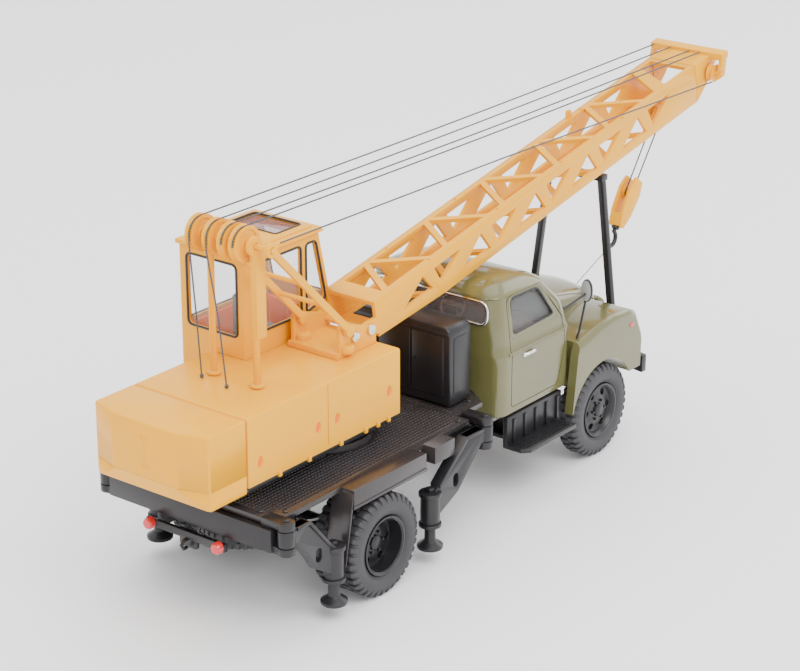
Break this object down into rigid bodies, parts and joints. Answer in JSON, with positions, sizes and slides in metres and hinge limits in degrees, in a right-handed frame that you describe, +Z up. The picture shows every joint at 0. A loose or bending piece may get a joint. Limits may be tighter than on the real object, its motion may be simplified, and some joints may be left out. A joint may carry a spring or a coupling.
{
  "type": "toy crane truck",
  "caption": "Toy truck-mounted crane with a slewing housing, operator cab, cable-luffed lattice boom, hook block, folding outriggers and rolling wheels",
  "frame": {"origin": "middle of the bounding box in X and Y, at the bottom of the tyres in Z", "axes": "+X is forward, along the truck towards the boom head; +Y is the truck's left; +Z is up"},
  "size_m": [0.1958, 0.0536, 0.0816],
  "materials": {
    "crane_yellow": "warm yellow, semi-gloss moulded plastic",
    "chassis_black": "charcoal black, satin moulded plastic",
    "cab_olive": "olive khaki gloss lacquer on cast metal",
    "tyre_rubber": "dark grey soft rubber with a block tread",
    "window_clear": "clear glossy glazing moulding",
    "interior_brown": "brown matt plastic",
    "seat_grey": "dark grey matt plastic",
    "bright_trim": "bright plated trim",
    "rope_grey": "dark grey twisted cord",
    "pin_steel": "bare turned steel"
  },
  "bodies": {
    "chassis": {"chassis_frame": "chassis_black", "deck_plate": "chassis_black", "rear_axle_housing": "chassis_black", "spare_wheel": "tyre_rubber", "tail_lamp_bar": "chassis_black", "cab_shell": "cab_olive", "cab_glazing": "window_clear", "cab_interior": "interior_brown", "bonnet_and_wings": "cab_olive", "front_bumper": "chassis_black", "rear_locker": "chassis_black", "boom_rest": "chassis_black", "headlamp_left": "bright_trim", "headlamp_right": "bright_trim", "mirror_left": "chassis_black", "mirror_right": "chassis_black", "running_board_left": "chassis_black", "running_board_right": "chassis_black"},
    "front_wheels": {"front_wheel_pin": "pin_steel", "front_rim_left": "chassis_black", "front_rim_right": "chassis_black", "front_tyre_left": "tyre_rubber", "front_tyre_right": "tyre_rubber"},
    "rear_wheels": {"rear_wheel_pin": "pin_steel", "rear_rim_left": "chassis_black", "rear_rim_right": "chassis_black", "rear_tyre_left": "tyre_rubber", "rear_tyre_right": "tyre_rubber"},
    "outrigger_rear_left": {"outrigger_rear_left_arm": "chassis_black"},
    "outrigger_rear_left_leg": {"outrigger_rear_left_jack": "chassis_black"},
    "outrigger_rear_right": {"outrigger_rear_right_arm": "chassis_black"},
    "outrigger_rear_right_leg": {"outrigger_rear_right_jack": "chassis_black"},
    "outrigger_front_left": {"outrigger_front_left_arm": "chassis_black"},
    "outrigger_front_left_leg": {"outrigger_front_left_jack": "chassis_black"},
    "outrigger_front_right": {"outrigger_front_right_arm": "chassis_black"},
    "outrigger_front_right_leg": {"outrigger_front_right_jack": "chassis_black"},
    "turret": {"turntable": "chassis_black", "engine_housing": "crane_yellow", "counterweight": "crane_yellow", "cockpit_shell": "crane_yellow", "cockpit_glazing": "window_clear", "cockpit_seat": "seat_grey", "gantry_strut_right": "crane_yellow", "gantry_strut_left": "crane_yellow", "gantry_post_left": "crane_yellow", "gantry_post_right": "crane_yellow"},
    "gantry_spool": {"gantry_sheaves": "crane_yellow"},
    "boom": {"boom_lattice": "crane_yellow", "boom_head": "crane_yellow", "luffing_rope_1": "rope_grey", "luffing_rope_2": "rope_grey", "luffing_rope_3": "rope_grey", "luffing_rope_4": "rope_grey", "luffing_rope_5": "rope_grey"},
    "head_spool": {"head_sheaves": "crane_yellow"},
    "hoist_spool": {"hoist_sheave": "crane_yellow"},
    "block": {"hook_block": "crane_yellow", "hoist_rope": "rope_grey", "tie_thread": "rope_grey"},
    "load_hook": {"hook": "chassis_black"}
  },
  "joints": [
    {"name": "front_wheels_roll", "type": "hinge", "parent": "chassis", "child": "front_wheels", "pos_m": [0.03049, 0, 0.0111], "axis": [0, 1, 0], "continuous": true},
    {"name": "rear_wheels_roll", "type": "hinge", "parent": "chassis", "child": "rear_wheels", "pos_m": [-0.05551, 0, 0.0111], "axis": [0, 1, 0], "continuous": true},
    {"name": "outrigger_rear_left_swing", "type": "hinge", "parent": "chassis", "child": "outrigger_rear_left", "pos_m": [-0.08411, 0.024, 0.0218], "axis": [0, 0, 1], "range_deg": [0, 90]},
    {"name": "outrigger_rear_left_extend", "type": "slide", "parent": "outrigger_rear_left", "child": "outrigger_rear_left_leg", "axis": [0, 0, -1], "range_m": [0, 0.0034]},
    {"name": "outrigger_rear_right_swing", "type": "hinge", "parent": "chassis", "child": "outrigger_rear_right", "pos_m": [-0.08411, -0.024, 0.0218], "axis": [0, 0, 1], "range_deg": [-90, 0]},
    {"name": "outrigger_rear_right_extend", "type": "slide", "parent": "outrigger_rear_right", "child": "outrigger_rear_right_leg", "axis": [0, 0, -1], "range_m": [0, 0.0034]},
    {"name": "outrigger_front_left_swing", "type": "hinge", "parent": "chassis", "child": "outrigger_front_left", "pos_m": [-0.01911, 0.024, 0.0218], "axis": [0, 0, 1], "range_deg": [-90, 0]},
    {"name": "outrigger_front_left_extend", "type": "slide", "parent": "outrigger_front_left", "child": "outrigger_front_left_leg", "axis": [0, 0, -1], "range_m": [0, 0.0034]},
    {"name": "outrigger_front_right_swing", "type": "hinge", "parent": "chassis", "child": "outrigger_front_right", "pos_m": [-0.01911, -0.024, 0.0218], "axis": [0, 0, 1], "range_deg": [0, 90]},
    {"name": "outrigger_front_right_extend", "type": "slide", "parent": "outrigger_front_right", "child": "outrigger_front_right_leg", "axis": [0, 0, -1], "range_m": [0, 0.0034]},
    {"name": "turret_slew", "type": "hinge", "parent": "chassis", "child": "turret", "pos_m": [-0.04631, 0, 0.0278], "axis": [0, 0, 1], "range_deg": [-100, 100]},
    {"name": "gantry_sheaves_spin", "type": "hinge", "parent": "turret", "child": "gantry_spool", "pos_m": [-0.07111, 0, 0.0758], "axis": [0, 1, 0], "continuous": true},
    {"name": "boom_luff", "type": "hinge", "parent": "turret", "child": "boom", "pos_m": [-0.03911, -0.0016, 0.0492], "axis": [0, -1, 0], "range_deg": [0, 50], "deforming": ["luffing_rope_1", "luffing_rope_2", "luffing_rope_3", "luffing_rope_4", "luffing_rope_5", "tie_thread"]},
    {"name": "head_sheaves_spin", "type": "hinge", "parent": "boom", "child": "head_spool", "pos_m": [0.09417, -0.0016, 0.07624], "axis": [0, 1, 0], "continuous": true},
    {"name": "hoist_sheave_spin", "type": "hinge", "parent": "boom", "child": "hoist_spool", "pos_m": [0.08251, -0.0016, 0.06662], "axis": [0, 1, 0], "continuous": true},
    {"name": "hook_hoist", "type": "slide", "parent": "boom", "child": "block", "axis": [0.5906, 0, 0.807], "range_m": [0, 0.008], "deforming": ["hoist_rope"]},
    {"name": "hook_swivel", "type": "hinge", "parent": "block", "child": "load_hook", "pos_m": [0.06509, -0.0016, 0.04281], "axis": [0.5906, 0, 0.807], "continuous": true}
  ]
}
